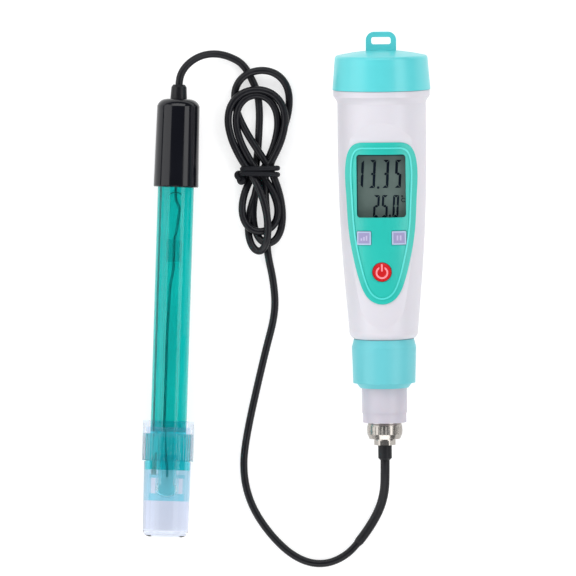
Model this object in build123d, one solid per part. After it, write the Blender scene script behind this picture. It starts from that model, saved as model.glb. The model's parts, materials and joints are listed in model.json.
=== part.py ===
from build123d import *
import math
import os

# Pen-type pH meter lying face up beside its electrode, with the cord between them.
#
# Row frame, in millimetres: +X across the pair, +Y from the bottle end to the lanyard
# loop, +Z up off the bench. The origin is on the bench, under the middle of the pair.
# The meter and the electrode are each built along their own Y axis and then laid down.

# ---- where the two instruments lie ----
METER_SEAT = (37.96, 77.6)          # under the seam between battery cap and body
METER_TURN = 0.59                   # degrees about Z
METER_ROLL = -2.5                   # degrees about the meter's own axis
PROBE_SEAT = (-44.19, 38.8)         # under the lower rim of the probe's cap
PROBE_TURN = -1.757

# ---- meter: radii and heights along its axis, 0 at the cap seam ----
CAP_R, CAP_TOP_R = 19.6, 18.55
CAP_SHOULDER, CAP_PEAK = 12.9, 16.0
SEAM_GAP = 0.15
LOOP_W, LOOP_TOP, LOOP_THICK, LOOP_CORNER = 12.1, 23.2, 3.0, 3.3
SLOT_W, SLOT_LOW, SLOT_HIGH = 7.8, 18.2, 21.1
RIM_R, RIM_LOW = 19.3, -2.4
NECK_R, NECK_TOP, NECK_BORE = 16.9, 9.5, 15.0
BODY_SIDE = [(17.7, -5.2), (17.68, -20), (17.44, -40), (16.6, -60), (14.46, -88), (13.78, -96)]
BODY_END_R, BODY_END = 11.86, -99.5
WALL = 2.0
SPIGOT_R, SPIGOT_END, SPIGOT_BORE = 10.7, -109.5, 9.0
RUN_FIT = 0.06                      # radial clearance of a turning or sliding fit
THREAD_PITCH = 3.0                  # the helical lift of cap, collar and bottle

# The front and back faces are parts of cones that lie inside the round body.
FRONT_SHIFT = 10.3                  # how far the front cone's axis is behind the meter's
FRONT_HEIGHTS = [(12, 24), (-11.5, 18.0), (-19, 15.7), (-88, 13.26), (-95.5, 13.9), (-112, 18)]
BACK_SHIFT = 9.0
BACK_HEIGHTS = [(12, 24), (-9, 18.0), (-19, 16.6), (-88, 13.2), (-95.5, 13.6), (-112, 18)]

PANEL_TOP, PANEL_LOW = -20.3, -85.1
PANEL_SIDE = [(7.0, PANEL_TOP), (12.1, -22.3), (14.2, -28.5), (14.1, -41.3), (13.24, -55.5),
              (11.1, -68.0), (9.0, -76.0), (7.2, -80.4), (4.5, -83.6), (0, PANEL_LOW)]
PANEL_DEEP, PANEL_PROUD = 1.4, 0.35
BEAD_INSET, BEAD_W, BEAD_PROUD = 1.95, 0.65, 0.7
WINDOW_W, WINDOW_H, WINDOW_R = 19.6, 25.2, 1.3
WINDOW_MID = -37.75

# display stack, in a frame whose origin is the middle of the glass
GLASS_W, GLASS_H, GLASS_THICK = 21.6, 27.0, 2.2
GLASS_LEVEL, FACE_SLOPE = 10.9, 2.05
BOARD_DROP, BOARD_THICK, BOARD_W = 6.0, 1.6, 19.0
BOARD_TOP, BOARD_LOW = 14.0, -47.0
INK = 0.08
MAIN_ROW = (("1", -8.3), ("3", -3.55), ("3", 1.77), ("5", 6.77))
MAIN_SIZE = (4.7, 2.5, 11.2, 1.0)   # height of the middle, width, height, stroke
SMALL_ROW = (("2", -2.07), ("5", 1.28), ("0", 5.65))
SMALL_SIZE = (-8.2, 2.4, 8.8, 0.85)
POINTS = ((-1.27, -0.75, 0.5), (3.29, -12.0, 0.45))

KEY_W, KEY_H, KEY_Y = 5.65, 5.45, -58.5
KEY_X = {"cal_key": -7.04, "hold_key": 6.96}
KEY_LOW, KEY_PROUD, KEY_GAP = 8.0, 0.7, 0.12
POWER_R, POWER_Y, POWER_GAP = 3.75, -72.1, 0.2
POWER_TOP, POWER_DISH = 14.45, 0.5
ICON_R, ICON_STROKE, ICON_PROUD = 2.5, 0.68, 0.12

CELL_R, CELL_H, CELL_RING = 5.8, 5.4, 8.4

# ---- collar, adapter and BNC plug ----
COLLAR_SIDE = [(12.0, -99.65), (12.85, -102.8), (12.45, -117.2), (11.2, -117.2), (9.7, -119.2)]
COLLAR_STEP = -113.0
TUBE_R, TUBE_MOULD, TUBE_END_R, TUBE_END = 9.0, -129.2, 8.68, -133.1
FLANGE_R, FLANGE_LOW = 10.4, -112.0
JACK_R, LUG_R = 4.8, 5.6
NUT_R, NUT_TOP, NUT_SHOW, NUT_END = 7.1, -126.0, -133.5, -139.7
NUT_RIBS = 30
PLUG_R, PLUG_END = 4.28, -142.2
SHRINK_R, SHRINK_NECK, SHRINK_END = 2.75, -147.5, -148.4

# ---- probe: heights along its axis, 0 at the cap's lower rim ----
PROBE_CAP_R, PROBE_CAP_TOP_R, PROBE_CAP_TOP = 9.0, 8.5, 35.2
NUB_R, NUB_TOP = 3.35, 41.0
SHAFT_R, SHAFT_BORE, SHAFT_TOP, SHAFT_END = 7.25, 5.7, 14.0, -113.2
GUARD_END, GUARD_ROOF = -125.6, -115.0
GUARD_WINDOW = (-119.6, 6.2, 5.0)   # middle, length and width of each opening
STEM_R, STEM_BORE, STEM_TOP, STEM_END = 2.9, 2.1, -1.4, -117.6
STEM_NECK_R, WIRE_R = 0.9, 0.4
WIRE_ROUTE = [(0, 24), (0, -5), (1.4, -8.5), (0.5, -18.5), (0, -20), (0, -33.5), (-0.8, -38.5),
              (-1.3, -57), (-1.3, -100), (0, -113), (0, -116)]
BULB_R, BULB_Y = 3.6, -120.6
JUNCTION_R, JUNCTION_X = 0.8, -4.3
BOTTLE_CAP_R, BOTTLE_CAP_TOP, BOTTLE_CAP_END = 10.25, -93.6, -109.6
BOTTLE_RIBS = 48
BOTTLE_R, BOTTLE_END_R, BOTTLE_END = 9.5, 9.15, -140.0
BOTTLE_BORE, BOTTLE_FLOOR = 7.6, -137.3
BOTTLE_NECK_R = 8.85

# ---- cord: the route's points, by hand, and the tied hank between its two runs ----
CORD_R = 1.5
SLEEVE_R = 1.8
CORD_SHARE = 0.45                   # part of the shorter run that a bend may use
LEAD_TURN_OUT = 44.7                # height on the probe's axis where the cord turns off
LEAD_ROUTE = [(-39.2, 88.6, 7.3), (-33.4, 91.9, 5.2), (-26.4, 92.3, 3.2),
              (-19.4, 89.6, 2.0), (-16.2, 86.4, 1.6)]
TAIL_ROUTE = [(-7.7, 12.6, 1.5), (-5.0, 0.5, 1.5), (-4.3, -11.5, 1.5), (-8.6, -27.5, 1.5),
              (-15.9, -59.5, 1.5), (-17.6, -74.5, 1.5), (-14.6, -88.0, 1.5), (-6.8, -100.2, 1.5),
              (3.2, -109.6, 1.5), (13.6, -112.8, 1.5), (23.6, -109.4, 1.8), (31.0, -101.0, 2.0),
              (36.9, -91.5, 2.9), (39.3, -83.5, 5.2)]
TAIL_TURN_IN = -153.0               # height on the meter's axis where the cord turns in
SLEEVE_LAST = 6.0                   # sleeve left past its last bend
HANK_UPPER = (-9.6, 65.0, 12.2, 20.4)   # centre x, y and half sizes of the upper loops
HANK_LOWER = (-9.9, 29.0, 10.6, 16.4)
HANK_HIGH, HANK_WAIST = 8.4, 9.0
TIE_MID, TIE_W, TIE_H = (-10.8, 45.0), 15.0, 5.2


# ---- helpers ----
def turned(*profile):
    """A solid of revolution about Y, from (radius, height) points."""
    return revolve(make_face(Polyline(*profile, close=True)), Axis.Y)


def rod(radius, low, high, x=0.0, z=0.0):
    """A round bar along Y, from one height to the other."""
    return Pos(x, (low + high) / 2, z) * Rot(90, 0, 0) * Cylinder(radius, high - low)


def ring(outer, inner, low, high):
    return rod(outer, low, high) - rod(inner, low - 1, high + 1)


def block(width, length, low, high, x=0.0, y=0.0):
    return Pos(x, y, (low + high) / 2) * Box(width, length, high - low)


def face_solid(heights, shift, offset):
    """The inside of a lengthwise cone that forms the front (or back) face."""
    outline = FilletPolyline(*[(high + shift + offset, y) for y, high in heights], radius=9)
    top, low = heights[0][0], heights[-1][0]
    face = make_face(outline + Polyline(outline @ 1, (0, low), (0, top), outline @ 0))
    return revolve(face, Axis.Y)


def front(offset=0.0):
    return Pos(0, 0, -FRONT_SHIFT) * face_solid(FRONT_HEIGHTS, FRONT_SHIFT, offset)


def back(offset=0.0):
    return Pos(0, 0, BACK_SHIFT) * face_solid(BACK_HEIGHTS, BACK_SHIFT, offset)


def grooves(count, radius, depth, low, high):
    """Round-bottomed grooves along Y, evenly spaced on a circle."""
    return [Rot(0, 360 * k / count, 0) * rod(depth, low, high, x=radius) for k in range(count)]


# ---- meter ----
def body_solid():
    """The long body with its flattened front and back."""
    side = Spline(*BODY_SIDE)
    curl = ThreePointArc(side @ 1, (BODY_END_R + 1.4, BODY_END + 1.2), (BODY_END_R, BODY_END))
    flare = ThreePointArc((RIM_R, RIM_LOW), (RIM_R - 1.0, RIM_LOW - 1.3), side @ 0)
    rest = Polyline((BODY_END_R, BODY_END), (0, BODY_END), (0, 0), (RIM_R, 0), (RIM_R, RIM_LOW))
    return revolve(make_face(side + curl + rest + flare), Axis.Y) & front() & back()


def body_cavity():
    """The hollow inside the body, down to the adapter's bore."""
    side = Spline(*[(r - WALL, y) for r, y in BODY_SIDE])
    rest = Polyline(side @ 1, (SPIGOT_BORE, -98.5), (SPIGOT_BORE, SPIGOT_END - 1),
                    (0, SPIGOT_END - 1), (0, BODY_SIDE[0][1]), side @ 0)
    hollow = revolve(make_face(side + rest), Axis.Y) & front(-2.6) & back(-WALL)
    bore = rod(SPIGOT_BORE, SPIGOT_END - 1, -98)
    return hollow + bore + rod(NECK_BORE, BODY_SIDE[0][1] - 1, NECK_TOP + 1)


def shield(inset=0.0):
    """The panel's flat outline, drawn in from its edge by the inset."""
    points = PANEL_SIDE + [(-x, y) for x, y in reversed(PANEL_SIDE[:-1])]
    moved = []
    for k, (x, y) in enumerate(points):
        before, after = points[k - 1], points[(k + 1) % len(points)]
        along = (Vector(*after) - Vector(*before)).normalized()
        moved.append((x + along.Y * inset, y - along.X * inset))
    edge = Spline(*moved)
    return make_face(Curve() + [edge, Line(edge @ 1, edge @ 0)])


def panel_space(face):
    """What lies in front of the panel's seat, over a flat outline."""
    return extrude(Pos(0, 0, 5) * face, 15) - front(-PANEL_DEEP)


def display(shape):
    """From the display's own frame to the meter's."""
    return Pos(0, WINDOW_MID, GLASS_LEVEL) * Rot(FACE_SLOPE, 0, 0) * shape


def key_prism(x, grow, low, high=20.0):
    width, length = KEY_W + 2 * grow, KEY_H + 2 * grow
    face = Pos(x, KEY_Y, low) * RectangleRounded(width, length, 0.5)
    return extrude(face, high - low)


def power_prism(radius, low, high=20.0):
    return Pos(0, POWER_Y, (low + high) / 2) * Cylinder(radius, high - low)


def body_shell():
    neck = rod(NECK_R, -1, NECK_TOP)
    spigot = rod(SPIGOT_R, SPIGOT_END, BODY_END + 1)
    shell = body_solid() + neck + spigot - body_cavity() - panel_space(shield())
    shell -= display(block(GLASS_W + 0.4, GLASS_H + 0.4, -8, 8))
    for x in KEY_X.values():
        shell -= key_prism(x, KEY_GAP, 3)
    return shell - power_prism(POWER_R + POWER_GAP, 3)


def front_panel():
    panel = panel_space(shield()) & front(PANEL_PROUD)
    window = RectangleRounded(WINDOW_W, WINDOW_H, WINDOW_R)
    panel -= extrude(Pos(0, WINDOW_MID, 3) * window, 20)
    for x in KEY_X.values():
        panel -= key_prism(x, KEY_GAP, 3)
    return panel - power_prism(POWER_R + POWER_GAP, 3)


def panel_bead():
    """The raised line that runs round the panel just inside its edge."""
    line = shield(BEAD_INSET) - shield(BEAD_INSET + BEAD_W)
    return (panel_space(line) & front(BEAD_PROUD)) - front(PANEL_PROUD)


def key(x):
    cap = key_prism(x, 0, KEY_LOW) & front(KEY_PROUD)
    flange = block(KEY_W + 1.4, KEY_H + 1.4, KEY_LOW, KEY_LOW + 0.7, x, KEY_Y)
    return cap + flange


def power_button():
    dish_r = (POWER_R ** 2 + POWER_DISH ** 2) / (2 * POWER_DISH)
    dish = Pos(0, POWER_Y, POWER_TOP - POWER_DISH + dish_r) * Sphere(dish_r)
    button = power_prism(POWER_R, 9.6, POWER_TOP) - dish
    return button + power_prism(POWER_R + 1.0, 9.6, 10.3) + power_prism(2.0, 8.8, 9.7)


def power_icon():
    """The broken ring and bar of the power sign, standing just proud of the dish."""
    dish_r = (POWER_R ** 2 + POWER_DISH ** 2) / (2 * POWER_DISH)
    centre = Pos(0, POWER_Y, POWER_TOP - POWER_DISH + dish_r)
    sign = Circle(ICON_R) - Circle(ICON_R - ICON_STROKE)
    sign -= Pos(0, ICON_R) * Rectangle(2.1, 2.6)
    sign += Pos(0, ICON_R - 0.55) * RectangleRounded(ICON_STROKE, 3.0, 0.3)
    stamp = extrude(Pos(0, POWER_Y - 0.25, 10) * sign, 8)
    return stamp & (centre * Sphere(dish_r)) - centre * Sphere(dish_r - ICON_PROUD)


SEGMENTS = {"0": "abcdef", "1": "bc", "2": "abged", "3": "abgcd", "5": "afgcd"}
SLANT = math.tan(math.radians(3))


def digit(sign, x, y, width, height, stroke):
    """One seven-segment digit as flat bars in the display's frame."""
    w, h, gap = width / 2, height / 2, 0.14
    level = [(-w + gap, h), (w - gap, h), (w - stroke - gap, h - stroke), (-w + stroke + gap, h - stroke)]
    upright = [(w, h - gap), (w, gap), (w - stroke / 2, 0.02), (w - stroke, stroke / 2 + gap),
               (w - stroke, h - stroke - gap)]
    middle = [(-w + stroke, stroke / 2), (w - stroke, stroke / 2), (w - stroke / 2 - gap, 0),
              (w - stroke, -stroke / 2), (-w + stroke, -stroke / 2), (-w + stroke / 2 + gap, 0)]
    bars = {"a": (level, 1, 1), "d": (level, 1, -1), "b": (upright, 1, 1), "c": (upright, 1, -1),
            "f": (upright, -1, 1), "e": (upright, -1, -1), "g": (middle, 1, 1)}
    solids = []
    for name in SEGMENTS[sign]:
        points, flip_x, flip_y = bars[name]
        leaned = [(x + px * flip_x + py * flip_y * SLANT, y + py * flip_y) for px, py in points]
        solids.append(extrude(make_face(Polyline(*leaned, close=True)), INK))
    return solids


def lcd_segments():
    solids = []
    for sign, x in MAIN_ROW:
        solids += digit(sign, x, *MAIN_SIZE)
    for sign, x in SMALL_ROW:
        solids += digit(sign, x, *SMALL_SIZE)
    for x, y, radius in POINTS:
        solids.append(Pos(x, y, INK / 2) * Cylinder(radius, INK))
    degree = Pos(8.2, -4.3) * (Circle(0.4) - Circle(0.2))
    letter = Pos(8.75, -5.8) * (Circle(0.9) - Circle(0.6) - Pos(0.7, 0) * Rectangle(0.9, 0.8))
    solids += [extrude(degree, INK), extrude(letter, INK)]
    return display(Compound(children=[s.solid() for s in solids]))


def lcd_holder():
    frame = block(23.6, 29.4, -BOARD_DROP, -GLASS_THICK)
    frame -= block(20.0, 25.8, -BOARD_DROP - 1, 0)
    return display(frame)


def zebra_strips():
    strips = [block(18.0, 1.8, -BOARD_DROP, -GLASS_THICK, 0, y) for y in (11.6, -11.6)]
    return display(strips[0] + strips[1])


def main_board():
    low = -BOARD_DROP - BOARD_THICK
    board = block(BOARD_W, BOARD_TOP - BOARD_LOW, low, -BOARD_DROP, 0, (BOARD_TOP + BOARD_LOW) / 2)
    board += block(23.0, 27.0, low, -BOARD_DROP)
    for x, y in board_screw_places():
        board -= Pos(x, y, low) * Cylinder(1.1, 8)
    return display(board)


def board_screw_places():
    return [(x, y) for x in (-6.8, 6.8) for y in (-28.2, -43.0)]


def board_screws():
    low = -BOARD_DROP
    head = Cylinder(2.0, 1.2) - Pos(0, 0, 0.5) * Box(2.6, 0.5, 0.7) - Pos(0, 0, 0.5) * Box(0.5, 2.6, 0.7)
    shank = Pos(0, 0, -2.6) * Cylinder(1.05, 4.0)
    screws = [Pos(x, y, low + 0.6) * (head + shank) for x, y in board_screw_places()]
    return display(Compound(children=[s.solid() for s in screws]))


def board_chips():
    """Parts on the back of the board: controller, amplifier, trimmer and crystal."""
    low = -BOARD_DROP - BOARD_THICK
    chips = [block(9.0, 9.0, low - 1.2, low, 0, -2), block(5.0, 4.0, low - 1.4, low, 0, -30),
             block(6.4, 6.4, low - 4.0, low, 5.2, -36), block(3.2, 8.0, low - 2.5, low, -6, 9)]
    return display(Compound(children=[c.solid() for c in chips]))


def tact_switches():
    places = [(x, KEY_Y - WINDOW_MID, 3.0) for x in KEY_X.values()]
    places.append((0.0, POWER_Y - WINDOW_MID, 4.1))
    switches = []
    for x, y, high in places:
        case = block(5.6, 5.6, -BOARD_DROP, -BOARD_DROP + high - 0.9, x, y)
        button = Pos(x, y, -BOARD_DROP + high - 0.6) * Cylinder(1.6, 0.8)
        switches.append((case + button).solid())
    return display(Compound(children=switches))


def cell_places():
    return [(CELL_RING * math.cos(math.radians(a)), CELL_RING * math.sin(math.radians(a)))
            for a in (45, 135, 225, 315)]


def battery_carrier():
    carrier = rod(NECK_BORE - 0.1, 1.0, 8.0) + rod(3.0, -6.0, 1.2)
    for x, z in cell_places():
        carrier -= rod(CELL_R + 0.1, 2.2, 9.0, x, z)
    return carrier


def button_cells():
    cells = []
    for x, z in cell_places():
        can = rod(CELL_R, 2.5, 2.5 + CELL_H - 0.6, x, z)
        cap = rod(CELL_R - 1.1, 2.5 + CELL_H - 0.7, 2.5 + CELL_H, x, z)
        cells.append((can + cap).solid())
    return Compound(children=cells)


def battery_contacts():
    """Four spring plates under the cells."""
    plates = [rod(4.2, 2.2, 2.5, x, z).solid() for x, z in cell_places()]
    return Compound(children=plates)


def battery_cap():
    bore = NECK_R + RUN_FIT
    dome = ThreePointArc((CAP_TOP_R - 1.2, CAP_SHOULDER + 1.0), (9.5, CAP_PEAK - 0.75), (0, CAP_PEAK))
    shoulder = ThreePointArc((CAP_TOP_R, CAP_SHOULDER), (CAP_TOP_R - 0.4, CAP_SHOULDER + 0.65), dome @ 0)
    rest = Polyline((0, CAP_PEAK), (0, SEAM_GAP), (CAP_R, SEAM_GAP), (CAP_TOP_R, CAP_SHOULDER))
    cap = revolve(make_face(dome + shoulder + rest), Axis.Y)
    cap -= rod(bore, -1, 10.7) + rod(13.6, 5, 12.2)
    middle = (LOOP_TOP + CAP_SHOULDER) / 2
    tab = RectangleRounded(LOOP_W, LOOP_TOP - CAP_SHOULDER, LOOP_CORNER)
    tab -= Pos(0, (SLOT_LOW + SLOT_HIGH) / 2 - middle) * RectangleRounded(SLOT_W, SLOT_HIGH - SLOT_LOW, 0.9)
    loop = extrude(Pos(0, middle, -LOOP_THICK / 2) * tab, LOOP_THICK)
    return cap + loop


def collar():
    shape = turned((0, COLLAR_SIDE[0][1]), *COLLAR_SIDE, (0, COLLAR_SIDE[-1][1]))
    bore = rod(SPIGOT_R + RUN_FIT, COLLAR_STEP, -90)
    return shape - bore - rod(TUBE_R + RUN_FIT, -125, -90)


def adapter_tube():
    shape = turned((0, -98.6), (8.4, -98.6), (8.4, -101.0), (8.94, -101.0), (8.94, SPIGOT_END),
                   (FLANGE_R, SPIGOT_END), (FLANGE_R, FLANGE_LOW), (TUBE_R, FLANGE_LOW),
                   (TUBE_R, TUBE_MOULD), (TUBE_END_R, TUBE_MOULD), (TUBE_END_R, TUBE_END), (0, TUBE_END))
    shape -= ring(12, 8.0, -106.0, -104.4)
    return shape - rod(7.3, -118, -90) - rod(JACK_R, -122, -116) - rod(7.4, -140, -120.5)


def bnc_jack():
    shell = rod(JACK_R, -131.5, -115.5) + rod(6.4, -122.2, -120.5) + rod(6.4, -118.0, -116.4)
    lugs = Pos(0, -129.4, 0) * Rot(0, 90, 0) * Cylinder(1.0, 2 * LUG_R)
    return shell + lugs - rod(4.1, -135, -124) - rod(2.3, -125, -110)


def plug_body():
    """Sleeve inside the jack, the shoulder that carries the nut, and the cable clamp."""
    body = rod(4.0, -134.5, -125.0) + rod(6.0, -136.2, -134.2) + rod(PLUG_R, PLUG_END, -136.0)
    body -= rod(2.9, -134.0, -120) + rod(1.8, -140, -130)
    flats = [Rot(0, 60 * k, 0) * Pos(0, -141.3, 5.9) * Box(8, 1.8, 4) for k in range(6)]
    return body - flats


def bnc_nut():
    nut = turned((0, NUT_TOP), (NUT_R - 0.45, NUT_TOP), (NUT_R - 0.45, NUT_SHOW),
                 (NUT_R - 0.1, NUT_SHOW - 1.2), (NUT_R, NUT_SHOW - 2.8), (NUT_R - 0.12, NUT_END + 1.9),
                 (NUT_R - 0.9, NUT_END), (0, NUT_END))
    nut -= rod(LUG_R + 0.2, -133.5, -120) + rod(6.3, -136.9, -133.0)
    nut -= rod(PLUG_R + RUN_FIT, -145, -130)
    return nut - grooves(NUT_RIBS, NUT_R + 0.14, 0.36, NUT_END - 1, NUT_SHOW - 0.2)


# ---- probe ----
def electrode_cap():
    shoulder = ThreePointArc((PROBE_CAP_TOP_R, 32.3), (7.3, 34.2), (4.6, PROBE_CAP_TOP))
    rest = Polyline(shoulder @ 1, (0, PROBE_CAP_TOP), (0, 0), (PROBE_CAP_R - 0.2, 0),
                    (PROBE_CAP_R, 0.3), shoulder @ 0)
    cap = revolve(make_face(shoulder + rest), Axis.Y)
    return cap - rod(SHAFT_R, -1, SHAFT_TOP) - rod(6.4, 10, 31.5) - rod(NUB_R, 30, 40)


def strain_relief():
    """A slightly tapered sleeve, held by its flange under the top of the cap."""
    return turned((0, 30.0), (4.6, 30.0), (4.6, 31.5), (NUB_R, 31.5), (NUB_R, PROBE_CAP_TOP),
                  (NUB_R - 0.3, NUB_TOP - 1.0), (NUB_R - 1.0, NUB_TOP), (0, NUB_TOP))


def shaft_plug():
    """Holds the neck of the stem and closes the top of the shaft."""
    return turned((STEM_NECK_R, 13.0), (SHAFT_BORE, 13.0), (SHAFT_BORE, 1.8), (4.4, 0.3), (STEM_NECK_R, 0.3))


def glass_stem():
    """A tube with a domed top, drawn out to the thin neck that the wire comes through."""
    middle = STEM_TOP - STEM_R
    outside = rod(STEM_R, STEM_END, middle) + Pos(0, middle, 0) * Sphere(STEM_R)
    outside += rod(STEM_NECK_R, middle, 12.0)
    inside = rod(STEM_BORE, STEM_END - 1, middle) + Pos(0, middle, 0) * Sphere(STEM_BORE)
    return outside - inside - rod(WIRE_R + 0.1, middle, 13.0)


def signal_wire():
    route = [(x, y, 0) for x, y in WIRE_ROUTE]
    wire, _ = tube(route, bend_radii(route), WIRE_R)
    return wire


def tip_guard():
    """The basket round the bulb, with four openings and the plug that closes the shaft."""
    guard = rod(SHAFT_R, GUARD_END, SHAFT_END) + rod(SHAFT_BORE, SHAFT_END - 1, SHAFT_END + 6)
    guard -= rod(SHAFT_BORE, GUARD_END - 1, GUARD_ROOF) + rod(STEM_R, -120, -100)
    middle, length, width = GUARD_WINDOW
    for turn in (45, 135):
        guard -= Rot(0, turn, 0) * Pos(0, middle, 0) * Box(20, length, width)
    return guard - rod(JUNCTION_R, -120, -100, x=JUNCTION_X)


def glass_bulb():
    """The thin round membrane at the foot of the stem."""
    bulb = Pos(0, BULB_Y, 0) * (Sphere(BULB_R) - Sphere(BULB_R - 0.5))
    foot = BULB_Y + math.sqrt(BULB_R ** 2 - STEM_R ** 2)
    return bulb - rod(STEM_R, BULB_Y, -100) + ring(STEM_R, STEM_BORE, foot - 0.9, STEM_END)


def bottle_cap():
    cap = rod(BOTTLE_CAP_R, BOTTLE_CAP_END, BOTTLE_CAP_TOP)
    cap -= rod(SHAFT_R + 0.1, -120, -90) + rod(BOTTLE_NECK_R + RUN_FIT + 0.04, -112, -96.2)
    return cap - grooves(BOTTLE_RIBS, BOTTLE_CAP_R + 0.1, 0.24, BOTTLE_CAP_END - 1, BOTTLE_CAP_TOP - 1.2)


def storage_bottle():
    shape = turned((0, -100.2), (BOTTLE_NECK_R, -100.2), (BOTTLE_NECK_R, BOTTLE_CAP_END - 0.3),
                   (BOTTLE_R, BOTTLE_CAP_END - 0.3), (BOTTLE_END_R, BOTTLE_END + 2.4),
                   (BOTTLE_END_R - 0.7, BOTTLE_END + 0.7), (BOTTLE_END_R - 2.2, BOTTLE_END), (0, BOTTLE_END))
    return shape - rod(BOTTLE_BORE, BOTTLE_FLOOR, -90)


# ---- laying the instruments down ----
def laid(seat, high, turn, slope, roll):
    return Pos(seat[0], seat[1], high) * Rot(0, 0, turn) * Rot(slope, 0, 0) * Rot(0, roll, 0)


def rest_slope(r_top, y_top, r_low, y_low):
    """Slope, in degrees, of an axis whose two resting rims touch the bench."""
    return math.degrees(math.atan((r_top - r_low) / (y_top - y_low)))


METER_SLOPE = rest_slope(CAP_R, SEAM_GAP, COLLAR_SIDE[1][0], COLLAR_SIDE[1][1])
METER_HIGH = (CAP_R * math.cos(math.radians(METER_SLOPE))
              - SEAM_GAP * math.sin(math.radians(METER_SLOPE)))
METER = laid(METER_SEAT, METER_HIGH, METER_TURN, METER_SLOPE, METER_ROLL)
PROBE_SLOPE = rest_slope(PROBE_CAP_R, 0, BOTTLE_CAP_R, BOTTLE_CAP_TOP)
PROBE_HIGH = PROBE_CAP_R * math.cos(math.radians(PROBE_SLOPE))
PROBE = laid(PROBE_SEAT, PROBE_HIGH, PROBE_TURN, PROBE_SLOPE, 0)


# ---- cord ----
def on_axis(place, height):
    return (place * Pos(0, height, 0)).position


def bend_radii(points):
    """One radius for each corner: as large as its two runs allow."""
    spots = [Vector(*p) for p in points]
    radii = []
    for a, b, c in zip(spots, spots[1:], spots[2:]):
        turn = math.radians((b - a).get_angle(c - b))
        radii.append(CORD_SHARE * min((b - a).length, (c - b).length) / math.tan(turn / 2))
    return radii


def tube(points, radii, radius):
    path = FilletPolyline(*points, radius=radii)
    profile = Plane(origin=path @ 0, z_dir=path % 0) * Circle(radius)
    return sweep(profile, path=path), path.length


def hank():
    """The outer shape of the figure-of-eight loops, two flat lobes and a tied waist."""
    lobes = []
    for x, y, half_w, half_h in (HANK_UPPER, HANK_LOWER):
        lobes.append(extrude(Pos(x, y, 0) * Ellipse(half_w, half_h), HANK_HIGH))
    waist = block(HANK_WAIST, 16, 0, HANK_HIGH, TIE_MID[0], TIE_MID[1])
    return lobes[0] + lobes[1] + waist


def cable_tie():
    band = block(TIE_W, TIE_H, 0, HANK_HIGH + 1.2, *TIE_MID)
    return band - block(30, 30, 0, HANK_HIGH, *TIE_MID)


def cord_parts():
    hank_solid = hank()
    lead = [tuple(on_axis(PROBE, h)) for h in (NUB_TOP, LEAD_TURN_OUT)] + LEAD_ROUTE
    turn_in = tuple(on_axis(METER, TAIL_TURN_IN))
    tail = TAIL_ROUTE + [turn_in, tuple(on_axis(METER, PLUG_END))]
    lead_radii, tail_radii = bend_radii(lead), bend_radii(tail)
    lead_tube, lead_length = tube(lead, lead_radii, CORD_R)
    tail_tube, tail_length = tube(tail, tail_radii, CORD_R)
    for name, radii in (("lead", lead_radii), ("tail", tail_radii)):
        print(name, "bend radii", [round(r, 1) for r in radii])
    section = math.pi * CORD_R ** 2
    for name, solid, length in (("lead", lead_tube, lead_length), ("tail", tail_tube, tail_length)):
        print(name, "length", round(length, 1), "volume ratio", round(solid.volume / (section * length), 4))

    corner, before = Vector(*tail[11]), Vector(*tail[10])
    last = corner + (before - corner).normalized() * SLEEVE_LAST
    sleeve_route = [tuple(on_axis(METER, SHRINK_END)), turn_in, *reversed(tail[11:14]), tuple(last)]
    sleeve_radii = list(reversed(tail_radii[10:14]))
    outer, _ = tube(sleeve_route, sleeve_radii, SLEEVE_R)
    inner, _ = tube(sleeve_route, sleeve_radii, CORD_R)
    return {"cord_lead": lead_tube, "cord_hank": hank_solid, "cord_tail": tail_tube,
            "cable_tie": cable_tie(), "cable_sleeve": outer - inner}


# ---- all the nodes ----
def meter_parts():
    shrink = turned((CORD_R, PLUG_END), (SHRINK_R, PLUG_END), (SHRINK_R, SHRINK_NECK),
                    (SLEEVE_R, SHRINK_END), (CORD_R, SHRINK_END))
    parts = {
        "body_shell": body_shell(),
        "front_panel": front_panel(),
        "panel_bead": panel_bead(),
        "lcd_glass": display(block(GLASS_W, GLASS_H, -GLASS_THICK, 0)),
        "lcd_segments": lcd_segments(),
        "lcd_holder": lcd_holder(),
        "zebra_strips": zebra_strips(),
        "main_board": main_board(),
        "board_chips": board_chips(),
        "board_screws": board_screws(),
        "tact_switches": tact_switches(),
        "power_button": power_button(),
        "power_icon": power_icon(),
        "battery_carrier": battery_carrier(),
        "battery_contacts": battery_contacts(),
        "button_cells": button_cells(),
        "battery_cap": battery_cap(),
        "battery_pad": rod(13.0, 9.0, 12.2),
        "cap_gasket": ring(16.7, 15.2, 9.6, 10.6),
        "collar": collar(),
        "collar_washer": ring(10.5, TUBE_R + 0.2, COLLAR_STEP + 0.1, FLANGE_LOW - 0.1),
        "adapter_tube": adapter_tube(),
        "adapter_seal": ring(8.98, 8.0, -105.9, -104.5),
        "bnc_jack": bnc_jack(),
        "jack_insulator": ring(2.3, 0.9, -129.5, -116.0),
        "jack_contact": ring(0.9, 0.6, -129.0, -112.0),
        "bnc_nut": bnc_nut(),
        "plug_body": plug_body(),
        "plug_insulator": ring(1.8, 0.5, -139.9, -134.5),
        "plug_pin": rod(0.5, -139.9, -126.0),
        "heat_shrink": shrink,
    }
    parts.update({name: key(x) for name, x in KEY_X.items()})
    return parts


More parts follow.
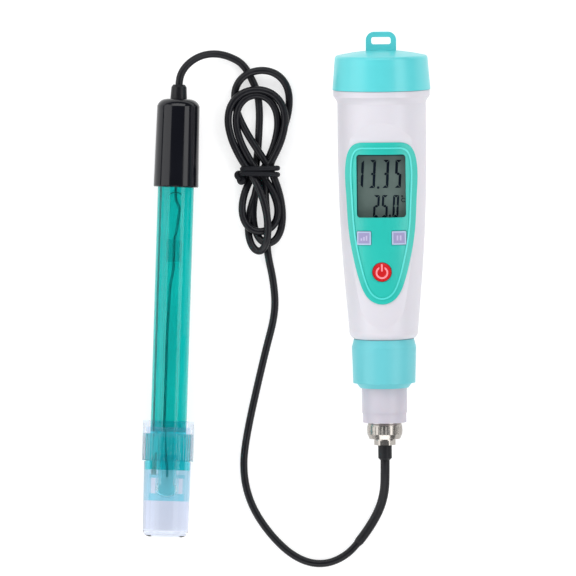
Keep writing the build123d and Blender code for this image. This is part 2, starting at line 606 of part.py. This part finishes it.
def probe_parts():
    return {
        "electrode_cap": electrode_cap(),
        "strain_relief": strain_relief(),
        "electrode_shaft": ring(SHAFT_R, SHAFT_BORE, SHAFT_END, SHAFT_TOP),
        "shaft_plug": shaft_plug(),
        "glass_stem": glass_stem(),
        "stem_seal": ring(STEM_BORE, WIRE_R, -30.0, -21.0),
        "signal_wire": signal_wire(),
        "reference_wire": rod(0.35, -100.0, 0.3, x=-4.7),
        "reference_junction": rod(JUNCTION_R, -115.4, -106.4, x=JUNCTION_X),
        "tip_guard": tip_guard(),
        "glass_bulb": glass_bulb(),
        "bottle_cap": bottle_cap(),
        "bottle_seal": ring(8.8, SHAFT_R + 0.08, -99.2, -96.2),
        "bottle_gasket": ring(8.7, 7.5, -100.1, -99.3),
        "storage_bottle": storage_bottle(),
    }


def main():
    os.makedirs("parts", exist_ok=True)
    nodes = {name: METER * shape for name, shape in meter_parts().items()}
    nodes.update({name: PROBE * shape for name, shape in probe_parts().items()})
    nodes.update(cord_parts())
    for name, shape in nodes.items():
        export_step(shape, f"parts/{name}.step")


main()
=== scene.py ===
import json
import math

import bpy
from mathutils import Matrix, Vector


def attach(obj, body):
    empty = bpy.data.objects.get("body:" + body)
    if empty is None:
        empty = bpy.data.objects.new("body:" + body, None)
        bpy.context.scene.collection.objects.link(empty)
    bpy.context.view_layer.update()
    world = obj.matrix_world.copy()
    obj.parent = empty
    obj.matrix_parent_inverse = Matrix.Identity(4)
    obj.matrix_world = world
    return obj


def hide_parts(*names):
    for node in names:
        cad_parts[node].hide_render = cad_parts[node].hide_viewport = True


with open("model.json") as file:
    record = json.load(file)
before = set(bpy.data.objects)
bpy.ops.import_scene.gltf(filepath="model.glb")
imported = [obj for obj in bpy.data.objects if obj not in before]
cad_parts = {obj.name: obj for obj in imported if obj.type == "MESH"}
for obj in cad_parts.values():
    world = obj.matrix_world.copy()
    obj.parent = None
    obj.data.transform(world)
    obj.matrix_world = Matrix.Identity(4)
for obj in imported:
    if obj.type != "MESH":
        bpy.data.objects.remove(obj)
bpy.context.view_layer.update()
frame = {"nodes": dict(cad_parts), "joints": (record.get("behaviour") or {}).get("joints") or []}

MM = 0.001
JOINTS = {joint["name"]: joint for joint in frame["joints"]}

# ---- camera and stage ----
VIEW_WIDTH = 0.2304                 # width of the view at the bench, in metres
VIEW_CENTRE = (0.00064, -0.0016, 0.010)
CAMERA_HIGH = 6.0
SENSOR = 36.0
FLOOR_SIZE, FLOOR_GREY, FLOOR_GLOW = 6, 0.5, 0.62
WORLD_COLOUR, WORLD_STRENGTH = (0.92, 0.95, 1.0, 1), 0.22
SOFTBOXES = [                       # name, place, size and power in watts
    ("left_softbox", (-0.83, 0.0, 0.49), (1.8, 0.80), 8.5),
    ("right_softbox", (0.80, 0.0, 0.75), (1.6, 0.50), 6.5),
    ("front_softbox", (0.0, -1.1, 0.9), (1.6, 0.7), 10.5),
    ("back_softbox", (0.0, 1.1, 0.9), (1.6, 0.7), 10.5),
]

# ---- cord: the route's points, in metres, as in the CAD model ----
CORD_R = 0.0015
SLEEVE_R = 0.00185
LEAD_ROUTE = [(-0.0392, 0.0886, 0.0073), (-0.0334, 0.0919, 0.0052), (-0.0264, 0.0923, 0.0032),
              (-0.0194, 0.0896, 0.0020), (-0.0162, 0.0864, 0.0016), (-0.0137, 0.0818, 0.0015),
              (-0.0115, 0.0766, 0.0015), (-0.0107, 0.0690, 0.0015), (-0.0110, 0.0610, 0.0015),
              (-0.0114, 0.0540, 0.0015)]
TAIL_ROUTE = [(-0.0077, 0.0126, 0.0015), (-0.0050, 0.0005, 0.0015), (-0.0043, -0.0115, 0.0015),
              (-0.0086, -0.0275, 0.0015), (-0.0159, -0.0595, 0.0015), (-0.0176, -0.0745, 0.0015),
              (-0.0146, -0.0880, 0.0015), (-0.0068, -0.1002, 0.0015), (0.0032, -0.1096, 0.0015),
              (0.0136, -0.1128, 0.0015), (0.0236, -0.1094, 0.0018), (0.0310, -0.1010, 0.0020),
              (0.0369, -0.0915, 0.0029), (0.0393, -0.0835, 0.0052)]
LEAD_TURN_OUT, NUB_TOP = 0.0447, 0.0410
TAIL_TURN_IN, PLUG_END = -0.153, -0.1422
SLEEVE_START = -0.1480              # height of the second jacket's end in the meter's own frame
SLEEVE_STOP = (0.0283, -0.1040, 0.0018)
SLEEVE_LIP = 0.0001
TIE_X, TIE_Y, TIE_Z = -0.0106, 0.0450, 0.0045
TIE_HALF_WIDE, TIE_HALF_HIGH = 0.0071, 0.0038
TIE_SQUARE = 0.6                    # 1 gives an ellipse, less gives flatter sides
TIE_R = 0.00105
TIE_TURNS = {"tie_turn_upper": (0.0012, 0.0002), "tie_turn_lower": (-0.0009, -0.0003)}
KNOT_MID = (-0.0180, TIE_Y - 0.0021, 0.0034)
KNOT_SIZE = (0.00068, 0.00074, 0.0012)

# The hank is a figure of eight pinched by the tie: each lobe leaves the tie to the left,
# goes round and comes back on the right. In millimetres: x of its middle, reach (negative
# down), widths left and right, how far out the widest place is, x at the tie, and seven
# heights from the tie round to the tie again.
LOBES = [
    (-10.7, -24.3, 8.8, 9.6, 0.42, -12.4, (1.5, 1.8, 4.3, 4.6, 4.3, 4.4, 4.4)),
    (-12.0, 31.0, 11.1, 11.1, 0.50, -11.4, (4.4, 4.1, 4.3, 4.2, 2.6, 1.9, 1.5)),
    (-7.4, -29.0, 7.2, 7.3, 0.42, -9.8, (1.5, 1.6, 1.7, 4.5, 2.8, 3.6, 4.4)),
    (-9.7, 41.0, 17.2, 16.0, 0.80, -6.2, (4.4, 4.4, 1.6, 5.3, 1.6, 1.6, 1.5)),
    (-10.9, -32.2, 6.0, 4.9, 0.30, -7.0, (1.5, 1.6, 1.6, 3.8, 7.4, 7.5, 5.0)),
    (-11.7, 33.2, 15.1, 14.4, 0.50, -14.9, (5.0, 4.3, 4.8, 4.9, 4.6, 4.5, 4.5)),
]
LOBE_POINTS = 14
LAST_TIE = (-0.0086, TIE_Y, 0.0045)
TAIL_START = [(-0.0084, 0.0400, 0.0043), (-0.0084, 0.0345, 0.0030), (-0.0079, 0.0290, 0.0018),
              (-0.0075, 0.0235, 0.0015), (-0.0076, 0.0180, 0.0015)]

# ---- trim and painted shade on the meter: millimetres in the meter's own frame ----
KEY_X = {"cal_key": -7.04, "hold_key": 6.96}
KEY_MID, KEY_REACH, CONE_DROP = -58.5, 25.3, 10.3
KEY_RIM = (2.75, 2.65, 0.5)         # half width, half height, width of the rim
KEY_SIGNS = {"cal_key": [(-1.35, -0.75, -1.0, -0.1), (-0.3, 0.3, -1.0, 0.5), (0.75, 1.35, -1.0, 1.0)],
             "hold_key": [(-0.95, -0.3, -1.0, 1.0), (0.3, 0.95, -1.0, 1.0)]}
GLASS_LEVEL, WINDOW_MID, FACE_SLOPE = 10.9, -37.75, 0.0354
# painted shade: dark bars on the display glass where the window's edge shades it, widest along the top,
# then the left side
DISPLAY_SHADE_BARS = [(-9.95, 9.95, 11.9, 12.9), (-9.95, -9.4, -12.9, 11.9), (9.55, 9.95, -12.9, 11.9)]

PROBE_ORIGIN = 0.110                # from the bottle's joint up to the probe's origin, in metres


def instrument(origin, along, up):
    """A matrix from an instrument's own frame, with Y along its axis, to the row's."""
    y = Vector(along).normalized()
    z = Vector(up) - y * Vector(up).dot(y)
    z.normalize()
    turn = Matrix((y.cross(z), y, z)).transposed().to_4x4()
    return Matrix.Translation(origin) @ turn


METER = instrument(JOINTS["cap_turn"]["pos_m"], JOINTS["cap_turn"]["axis"],
                   -Vector(JOINTS["cal_press"]["axis"]))
PROBE_AXIS = -Vector(JOINTS["bottle_turn"]["axis"])
PROBE = instrument(Vector(JOINTS["bottle_turn"]["pos_m"]) + PROBE_ORIGIN * PROBE_AXIS.normalized(),
                   PROBE_AXIS, (0, 0, 1))


# ---- materials ----
def node(tree, kind, **inputs):
    """A shader node with its named inputs set."""
    made = tree.nodes.new(kind)
    for name, value in inputs.items():
        made.inputs[name.replace("_", " ")].default_value = value
    return made


def noise(tree, scale, detail=4.0, stretch=(1, 1, 1)):
    """Noise in the object's own coordinates, so that it stays on the surface."""
    place = tree.nodes.new("ShaderNodeTexCoord")
    mapping = node(tree, "ShaderNodeMapping", Scale=stretch)
    made = node(tree, "ShaderNodeTexNoise", Scale=scale, Detail=detail)
    tree.links.new(place.outputs["Object"], mapping.inputs["Vector"])
    tree.links.new(mapping.outputs["Vector"], made.inputs["Vector"])
    return made.outputs["Fac"]


def spread(tree, value, low, high):
    """Noise values brought into the range low to high."""
    made = node(tree, "ShaderNodeMapRange", From_Min=0.3, From_Max=0.7, To_Min=low, To_Max=high)
    tree.links.new(value, made.inputs["Value"])
    return made.outputs["Result"]


def surface(name, colour, rough, mottle=0.04, mottle_scale=60.0, rough_spread=0.06, grain=0.0,
            grain_scale=2500.0, stretch=(1, 1, 1), **sockets):
    """A principled material with slightly uneven colour and roughness and a fine grain."""
    material = bpy.data.materials.new(name)
    material.use_nodes = True
    tree = material.node_tree
    shader = tree.nodes["Principled BSDF"]
    for socket, value in sockets.items():
        shader.inputs[socket.replace("_", " ")].default_value = value
    mix = tree.nodes.new("ShaderNodeMix")
    mix.data_type = "RGBA"
    mix.inputs[6].default_value = (*[c * (1 - mottle) for c in colour], 1)
    mix.inputs[7].default_value = (*[min(1, c * (1 + mottle)) for c in colour], 1)
    cloud = noise(tree, mottle_scale, stretch=stretch)
    tree.links.new(spread(tree, cloud, 0, 1), mix.inputs[0])
    tree.links.new(mix.outputs[2], shader.inputs["Base Color"])
    low, high = max(0, rough - rough_spread), min(1, rough + rough_spread)
    tree.links.new(spread(tree, cloud, low, high), shader.inputs["Roughness"])
    if grain:
        bump = node(tree, "ShaderNodeBump", Strength=grain, Distance=0.00005)
        tree.links.new(noise(tree, grain_scale, 2.0, stretch), bump.inputs["Height"])
        tree.links.new(bump.outputs["Normal"], shader.inputs["Normal"])
    return material


def math_node(tree, operation, first, second):
    """A maths node; each input is a socket or a number."""
    made = tree.nodes.new("ShaderNodeMath")
    made.operation = operation
    for socket, value in zip(made.inputs, (first, second)):
        if isinstance(value, float):
            socket.default_value = value
        else:
            tree.links.new(value, socket)
    return made.outputs[0]


def probe_place(tree):
    """Sockets for the distance from the probe's axis and the height along it, in metres."""
    place = tree.nodes.new("ShaderNodeTexCoord")
    mapping = node(tree, "ShaderNodeMapping", Location=PROBE.translation, Rotation=PROBE.to_euler())
    mapping.vector_type = "TEXTURE"
    tree.links.new(place.outputs["Object"], mapping.inputs["Vector"])
    split = tree.nodes.new("ShaderNodeSeparateXYZ")
    tree.links.new(mapping.outputs["Vector"], split.inputs[0])
    x, y, z = split.outputs
    x_squared, z_squared = [math_node(tree, "MULTIPLY", value, value) for value in (x, z)]
    return math_node(tree, "SQRT", math_node(tree, "ADD", x_squared, z_squared), 0.0), y


def see_through(tree, tint, body, share):
    """Clear plastic that bends no light: a tinted pane with a little of its own colour."""
    pane = node(tree, "ShaderNodeBsdfTransparent", Color=(*tint, 1))
    skin = node(tree, "ShaderNodeBsdfPrincipled", Base_Color=(*body, 1), Roughness=0.25)
    mix = node(tree, "ShaderNodeMixShader", Fac=share)
    tree.links.new(pane.outputs[0], mix.inputs[1])
    tree.links.new(skin.outputs[0], mix.inputs[2])
    return mix.outputs[0]


def wet_wall(tree, tint):
    """A clear wall against liquid of nearly the same index: it bends little and tints."""
    wall = node(tree, "ShaderNodeBsdfPrincipled", Base_Color=(*[c * c for c in tint], 1), Roughness=0.0,
                IOR=1.06, Transmission_Weight=1.0)
    return wall.outputs[0]


def clear(name, colour, tint, body, share, ior=1.33, skin=None, wet=False, shine=0.5):
    """A clear moulding. Its outer skin refracts; walls inside it lie against gel or liquid
    of nearly the same index and only tint. skin gives the radius and the two heights
    between which the surface is that outer skin, in metres."""
    material = surface(name, colour, 0.03, mottle=0.015, rough_spread=0.02, Transmission_Weight=1.0,
                       IOR=ior, Specular_IOR_Level=shine)
    tree = material.node_tree
    inside = wet_wall(tree, tint) if wet else see_through(tree, tint, body, share)
    output = tree.nodes["Material Output"]
    if skin is None:
        tree.links.new(inside, output.inputs["Surface"])
        return material
    radius, low, high = skin
    away, height = probe_place(tree)
    outer = math_node(tree, "GREATER_THAN", away, radius)
    above = math_node(tree, "GREATER_THAN", height, low)
    below = math_node(tree, "LESS_THAN", height, high)
    factor = math_node(tree, "MULTIPLY", outer, math_node(tree, "MULTIPLY", above, below))
    mix = tree.nodes.new("ShaderNodeMixShader")
    tree.links.new(factor, mix.inputs[0])
    tree.links.new(inside, mix.inputs[1])
    tree.links.new(tree.nodes["Principled BSDF"].outputs[0], mix.inputs[2])
    tree.links.new(mix.outputs[0], output.inputs["Surface"])
    return material


def rgb(text):
    """Linear colour from a hexadecimal screen colour."""
    parts = [int(text[k:k + 2], 16) / 255 for k in (0, 2, 4)]
    return [c / 12.92 if c <= 0.04045 else ((c + 0.055) / 1.055) ** 2.4 for c in parts]


def make_materials():
    """Every material by its short name; colours are screen colours."""
    return {
        "body": surface("white_body", rgb("cecbd2"), 0.42, mottle=0.015, grain=0.12, Coat_Weight=0.15,
                        Coat_Roughness=0.25, Subsurface_Weight=0.06, Subsurface_Scale=0.002),
        "cap": surface("cyan_cap", rgb("54c6cb"), 0.36, mottle=0.03, grain=0.15, Coat_Weight=0.2,
                       Coat_Roughness=0.2),
        "collar": surface("cyan_collar", rgb("61bcc4"), 0.40, mottle=0.03, grain=0.15),
        "panel": surface("teal_panel", rgb("1fb5a8"), 0.38, mottle=0.03, grain=0.2, Coat_Weight=0.1),
        # painted highlight: the bead is a lighter teal for the light its raised edge catches
        "bead": surface("bead_painted_highlight", rgb("4fd3cc"), 0.34, mottle=0.02, grain=0.1),
        "adapter": surface("pale_adapter", rgb("bbb7c1"), 0.42, mottle=0.02, grain=0.1,
                           Subsurface_Weight=0.1, Subsurface_Scale=0.002),
        "lcd": surface("lcd_grey", rgb("56635f"), 0.22, mottle=0.10, mottle_scale=120.0),
        "ink": surface("lcd_ink", rgb("04101c"), 0.3, mottle=0.2, Specular_IOR_Level=0.2),
        "key": surface("lavender_key", rgb("938db5"), 0.55, mottle=0.04, grain=0.3),
        "rim": surface("pale_rim", rgb("aebfd8"), 0.5, mottle=0.03),
        "sign": surface("pale_sign", rgb("bab3d0"), 0.5, mottle=0.03),
        # painted shade: the dark strips inside the top and sides of the display window
        "recess_shade": surface("painted_shade_strip", rgb("07363a"), 0.4, mottle=0.1),
        "red": surface("red_button", rgb("c41016"), 0.25, mottle=0.05, Coat_Weight=0.3),
        "icon": surface("pink_sign", rgb("f58f98"), 0.4, mottle=0.02),
        "board": surface("green_board", rgb("1e5a34"), 0.35, mottle=0.15, mottle_scale=900.0),
        "chip": surface("black_chip", rgb("17171a"), 0.5, grain=0.2),
        "inner": surface("grey_carrier", rgb("3a3c40"), 0.55, grain=0.2),
        "steel": surface("steel", rgb("b0b2b4"), 0.28, mottle=0.05, stretch=(1, 30, 1), Metallic=1.0),
        "nickel": surface("nickel", rgb("a8a39d"), 0.24, mottle=0.08, mottle_scale=400.0, grain=0.15,
                          Metallic=1.0),
        "brass": surface("brass", rgb("c79a4a"), 0.25, Metallic=1.0),
        "ptfe": surface("white_insulator", rgb("e6e4dc"), 0.5),
        "seal": surface("black_seal", rgb("0a0b12"), 0.6, grain=0.3, Specular_IOR_Level=0.25),
        "zebra": surface("striped_rubber", rgb("7a4440"), 0.6, mottle=0.5, mottle_scale=3000.0,
                         stretch=(1, 0.02, 0.02)),
        "cord": surface("cord_jacket", rgb("08080f"), 0.38, mottle=0.15, mottle_scale=500.0, grain=0.25,
                        grain_scale=1800.0, Specular_IOR_Level=0.3),
        "sleeve": surface("sleeve_jacket", rgb("0a0b10"), 0.5, mottle=0.5, mottle_scale=900.0, grain=0.9,
                          grain_scale=900.0, Specular_IOR_Level=0.3),
        "gloss": surface("black_gloss", rgb("06070f"), 0.14, mottle=0.1, grain=0.05,
                         Specular_IOR_Level=0.35),
        "shaft": clear("teal_shaft", rgb("1ccbc8"), (0.40, 0.975, 0.965), rgb("00b4aa"), 0.05,
                       skin=(0.0064, -0.098, 0.02)),
        "bottle": clear("clear_bottle", rgb("dde3f1"), (0.972, 0.976, 0.994), rgb("ccd4ee"), 0.03,
                        skin=(0.0083, -0.15, -0.1093), wet=True, shine=1.0),
        "bottle_cap": clear("clear_cap", rgb("e2edf2"), (0.935, 0.95, 0.985), rgb("c4cfec"), 0.03,
                            skin=(0.0094, -0.15, -0.0988), wet=True, shine=1.0),
        "clear_ring": clear("clear_ring", rgb("eef1ff"), (0.94, 0.98, 1.0), rgb("b9c6e6"), 0.04),
        "guard": clear("cyan_guard", rgb("8fe6f0"), (0.84, 0.99, 1.0), rgb("86e2ee"), 0.06),
        "glass": surface("thin_glass", rgb("e2f8f6"), 0.02, Transmission_Weight=1.0, IOR=1.12),
        "potting": surface("teal_potting", rgb("1aa79c"), 0.35, mottle=0.08),
        "silicone": clear("clear_seal", rgb("c8f0ee"), (0.86, 0.97, 0.98), rgb("8fdcda"), 0.2),
        "wire": surface("dark_wire", rgb("3fa3a6"), 0.45),
        "ceramic": surface("ceramic", rgb("e8e6dd"), 0.6),
    }


CAD_MATERIALS = {
    "body": ["body_shell"], "cap": ["battery_cap"], "collar": ["collar"], "panel": ["front_panel"],
    "bead": ["panel_bead"], "adapter": ["adapter_tube"], "lcd": ["lcd_glass"], "ink": ["lcd_segments"],
    "key": ["cal_key", "hold_key"], "red": ["power_button"], "icon": ["power_icon"],
    "board": ["main_board"], "chip": ["board_chips"],
    "inner": ["lcd_holder", "tact_switches", "battery_carrier"],
    "steel": ["board_screws", "button_cells"],
    "nickel": ["battery_contacts", "bnc_jack", "bnc_nut", "plug_body"],
    "brass": ["jack_contact", "plug_pin"], "ptfe": ["jack_insulator", "plug_insulator"],
    "seal": ["battery_pad", "cap_gasket", "collar_washer", "adapter_seal"],
    "zebra": ["zebra_strips"], "sleeve": ["heat_shrink"], "cord": ["strain_relief"],
    "gloss": ["electrode_cap"], "shaft": ["electrode_shaft"], "potting": ["shaft_plug"],
    "glass": ["glass_stem", "glass_bulb"], "silicone": ["stem_seal"],
    "clear_ring": ["bottle_seal", "bottle_gasket"],
    "wire": ["signal_wire", "reference_wire"], "ceramic": ["reference_junction"],
    "guard": ["tip_guard"], "bottle_cap": ["bottle_cap"], "bottle": ["storage_bottle"],
}


def dress_cad(materials):
    """Give each carried-over CAD node its material."""
    for key, names in CAD_MATERIALS.items():
        for name in names:
            mesh = frame["nodes"][name].data
            mesh.materials.clear()
            mesh.materials.append(materials[key])


# ---- cord ----
def height_at(heights, share):
    """A height between equally spaced ones, for a share from 0 to 1."""
    place = share * (len(heights) - 1)
    low = min(int(place), len(heights) - 2)
    return heights[low] + (heights[low + 1] - heights[low]) * (place - low)


def lobe(index):
    """Points round one teardrop lobe of the hank, from the tie and back."""
    middle, reach, left, right, pinch, start, heights = LOBES[index]
    follow = LOBES[index + 1][5] if index + 1 < len(LOBES) else LAST_TIE[0] / MM
    points = []
    for k in range(LOBE_POINTS):
        share = k / LOBE_POINTS
        angle = 2 * math.pi * share
        out = (1 - math.cos(angle)) / 2
        ends, width = (start, left) if share < 0.5 else (follow, right)
        centre = middle + (ends - middle) * (1 - out) ** 2
        x = centre - width * math.sin(angle) * out ** pinch
        points.append((x * MM, TIE_Y + reach * out * MM, height_at(heights, share) * MM))
    return points


def cord_route():
    """The cord's points from the probe's cap through the hank to the plug."""
    lead = [PROBE @ Vector((0, y, 0)) for y in (NUB_TOP, LEAD_TURN_OUT)] + LEAD_ROUTE
    turns = [point for index in range(len(LOBES)) for point in lobe(index)]
    plug = [METER @ Vector((0, y, 0)) for y in (TAIL_TURN_IN, PLUG_END)]
    return lead + turns + [LAST_TIE] + TAIL_START + TAIL_ROUTE + plug


def open_spline(name, points, radius):
    """A round cord along one open NURBS spline."""
    data = bpy.data.curves.new(name, "CURVE")
    data.dimensions = "3D"
    spline = data.splines.new("NURBS")
    spline.points.add(len(points) - 1)
    for point, place in zip(spline.points, points):
        point.co = (*place, 1)
    spline.order_u = 3
    spline.use_endpoint_u = True
    spline.resolution_u = 8
    data.bevel_depth = radius
    data.bevel_resolution = 5
    piece = bpy.data.objects.new(name, data)
    bpy.context.collection.objects.link(piece)
    return piece


def spline_line(piece):
    """Points along the piece's own line."""
    data = piece.data.copy()
    data.bevel_depth = 0
    bare = bpy.data.objects.new("line", data)
    bpy.context.collection.objects.link(bare)
    mesh = bpy.data.meshes.new_from_object(bare.evaluated_get(bpy.context.evaluated_depsgraph_get()))
    line = [v.co.copy() for v in mesh.vertices]
    bpy.data.objects.remove(bare)
    bpy.data.meshes.remove(mesh)
    return line


def mesh_piece(name, points, faces, material, smooth=True):
    """An object made of the given points and faces."""
    mesh = bpy.data.meshes.new(name)
    mesh.from_pydata([tuple(p) for p in points], [], faces)
    mesh.validate()
    for polygon in mesh.polygons:
        polygon.use_smooth = smooth
    piece = bpy.data.objects.new(name, mesh)
    bpy.context.collection.objects.link(piece)
    mesh.materials.append(material)
    return piece


def tube_mesh(name, line, radii, material, around=20):
    """A closed tube round a line, with a radius for each of its points."""
    points, faces = [], []
    up = Vector((0, 0, 1))
    for k, centre in enumerate(line):
        ahead = line[min(k + 1, len(line) - 1)] - line[max(k - 1, 0)]
        side = ahead.cross(up).normalized()
        over = side.cross(ahead).normalized()
        for a in range(around):
            angle = 2 * math.pi * a / around
            points.append(centre + radii[k] * (math.cos(angle) * side + math.sin(angle) * over))
    for k in range(len(line) - 1):
        for a in range(around):
            b = (a + 1) % around
            faces.append((k * around + a, k * around + b, (k + 1) * around + b, (k + 1) * around + a))
    faces.append(tuple(reversed(range(around))))
    faces.append(tuple((len(line) - 1) * around + a for a in range(around)))
    return mesh_piece(name, points, faces, material)


def add_cord(materials):
    """The cord itself, which stands for its three CAD nodes."""
    cord = open_spline("cord", cord_route(), CORD_R)
    cord.data.materials.append(materials["cord"])
    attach(cord, "base")
    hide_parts("cord_lead", "cord_hank", "cord_tail")
    return cord


def add_sleeve(cord, materials):
    """The second jacket over the cord's end, from the heat-shrink boot round the bend."""
    start = METER @ Vector((0, SLEEVE_START, 0))
    stop = Vector(SLEEVE_STOP)
    line = spline_line(cord)
    first = min(range(len(line)), key=lambda k: (line[k] - stop).length)
    last = min(range(len(line)), key=lambda k: (line[k] - start).length)
    part = line[first:last + 1]
    radii = [SLEEVE_R] * len(part)
    radii[0] = CORD_R + SLEEVE_LIP
    sleeve = tube_mesh("cord_sleeve", part, radii, materials["sleeve"])
    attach(sleeve, "base")
    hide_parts("cable_sleeve")
    return sleeve


def tie_loop(shift, slope, steps=32):
    """One strand of the tie, an upright oval round the tied waist."""
    points = []
    for k in range(steps + 1):
        angle = 2 * math.pi * k / steps
        across, over = math.cos(angle), math.sin(angle)
        x = TIE_X + TIE_HALF_WIDE * math.copysign(abs(across) ** TIE_SQUARE, across)
        z = TIE_Z + TIE_HALF_HIGH * math.copysign(abs(over) ** TIE_SQUARE, over)
        points.append(Vector((x, TIE_Y + shift + slope * across, z)))
    return points


def tie_knot(steps=72):
    """A small overhand knot at the tie's left end."""
    points = []
    for k in range(steps + 1):
        angle = 2 * math.pi * k / steps
        x = math.sin(angle) + 2 * math.sin(2 * angle)
        y = math.cos(angle) - 2 * math.cos(2 * angle)
        z = -math.sin(3 * angle)
        points.append(Vector([m + size * c for m, size, c in zip(KNOT_MID, KNOT_SIZE, (x, y, z))]))
    return points


def add_tie(materials):
    """A thin plastic-covered tie: two turns round the waist and a knot."""
    lines = {name: tie_loop(*place) for name, place in TIE_TURNS.items()}
    lines["tie_knot"] = tie_knot()
    pieces = []
    for name, line in lines.items():
        piece = tube_mesh(name, line, [TIE_R] * len(line), materials["seal"], around=14)
        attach(piece, "base")
        pieces.append(piece)
    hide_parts("cable_tie")
    return pieces


# ---- small trim and painted shade on the meter, in millimetres in the meter's own frame ----
def key_top(x, y):
    """Height of a key's top over the meter's axis; the keys follow the cone of the front."""
    reach = KEY_REACH + FACE_SLOPE * (y - KEY_MID)
    return math.sqrt(reach ** 2 - x ** 2) - CONE_DROP


def display_top(x, y):
    """Height of the display's face over the meter's axis; it slopes with the front."""
    return GLASS_LEVEL + FACE_SLOPE * (y - WINDOW_MID)


def bar(corners, height, thick=0.06, columns=6):
    """Points and faces of a thin bar laid on a face; corners are its x and y limits."""
    x0, x1, y0, y1 = corners
    points, faces = [], []
    for k in range(columns + 1):
        x = x0 + (x1 - x0) * k / columns
        for y in (y0, y1):
            points += [(x, y, height(x, y) + thick), (x, y, height(x, y) - thick)]
    for a in range(0, 4 * columns, 4):
        b = a + 4
        faces += [(a, b, b + 2, a + 2), (a + 1, a + 3, b + 3, b + 1)]
        faces += [(a, a + 1, b + 1, b), (a + 2, b + 2, b + 3, a + 3)]
    last = 4 * columns
    faces += [(0, 2, 3, 1), (last, last + 1, last + 3, last + 2)]
    return points, faces


def rim(x, y, half_w, half_h, wide):
    """The four bars of a rectangular rim."""
    left, right, low, top = x - half_w, x + half_w, y - half_h, y + half_h
    return [(left, right, top - wide, top), (left, right, low, low + wide),
            (left, left + wide, low + wide, top - wide), (right - wide, right, low + wide, top - wide)]


def add_bars(name, rows, height, material, body):
    """One piece made of several thin bars."""
    points, faces = [], []
    for corners in rows:
        more, skins = bar(corners, height)
        faces += [tuple(len(points) + index for index in face) for face in skins]
        points += more
    piece = mesh_piece(name, [METER @ (Vector(p) * MM) for p in points], faces, material, smooth=False)
    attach(piece, body)


def add_trim(materials):
    """A rim and a plain sign on each key, and painted shade in the display's recessed window, along its
    top and sides.
    """
    for key, x in KEY_X.items():
        add_bars(key + "_rim", rim(x, KEY_MID, *KEY_RIM), key_top, materials["rim"], key)
        sign = [(x + a, x + b, KEY_MID + c, KEY_MID + d) for a, b, c, d in KEY_SIGNS[key]]
        add_bars(key + "_sign", sign, key_top, materials["sign"], key)
    # dark bars of painted shade where the recess shades the glass
    recess_shade = [(a, b, WINDOW_MID + c, WINDOW_MID + d) for a, b, c, d in DISPLAY_SHADE_BARS]
    add_bars("display_painted_shade", recess_shade, display_top, materials["recess_shade"], "base")


# ---- stage ----
def add_stage():
    """A pale lit table: part of its brightness is its own, so that shadows stay faint."""
    bpy.ops.mesh.primitive_plane_add(size=FLOOR_SIZE, location=(0, 0, 0))
    floor = bpy.context.object
    floor.name = "floor"
    paint = bpy.data.materials.new("pale_floor")
    paint.use_nodes = True
    inputs = paint.node_tree.nodes["Principled BSDF"].inputs
    inputs["Base Color"].default_value = (FLOOR_GREY, FLOOR_GREY, FLOOR_GREY, 1)
    inputs["Roughness"].default_value = 0.9
    inputs["Emission Color"].default_value = (1, 1, 1, 1)
    inputs["Emission Strength"].default_value = FLOOR_GLOW
    floor.data.materials.append(paint)


def area_light(name, place, size, power):
    """A soft rectangular lamp aimed at the middle of the object."""
    data = bpy.data.lights.new(name, "AREA")
    data.shape = "RECTANGLE"
    data.size, data.size_y = size
    data.energy = power
    light = bpy.data.objects.new(name, data)
    light.location = place
    light.rotation_euler = (-Vector(place)).to_track_quat("-Z", "Y").to_euler()
    bpy.context.collection.objects.link(light)


def add_lights():
    """A faint even sky and the softboxes."""
    world = bpy.data.worlds.new("studio")
    world.use_nodes = True
    sky = world.node_tree.nodes["Background"].inputs
    sky["Color"].default_value = WORLD_COLOUR
    sky["Strength"].default_value = WORLD_STRENGTH
    bpy.context.scene.world = world
    for softbox in SOFTBOXES:
        area_light(*softbox)


def add_camera():
    """A long lens straight above the object."""
    data = bpy.data.cameras.new("camera")
    data.sensor_width = SENSOR
    data.lens = SENSOR * CAMERA_HIGH / VIEW_WIDTH
    camera = bpy.data.objects.new("camera", data)
    camera.location = (VIEW_CENTRE[0], VIEW_CENTRE[1], VIEW_CENTRE[2] + CAMERA_HIGH)
    bpy.context.collection.objects.link(camera)
    bpy.context.scene.camera = camera
    bpy.context.scene.view_settings.view_transform = "Standard"


def main():
    materials = make_materials()
    dress_cad(materials)
    cord = add_cord(materials)
    sleeve = add_sleeve(cord, materials)
    tie = add_tie(materials)
    add_trim(materials)
    add_stage()
    add_lights()
    add_camera()


main()
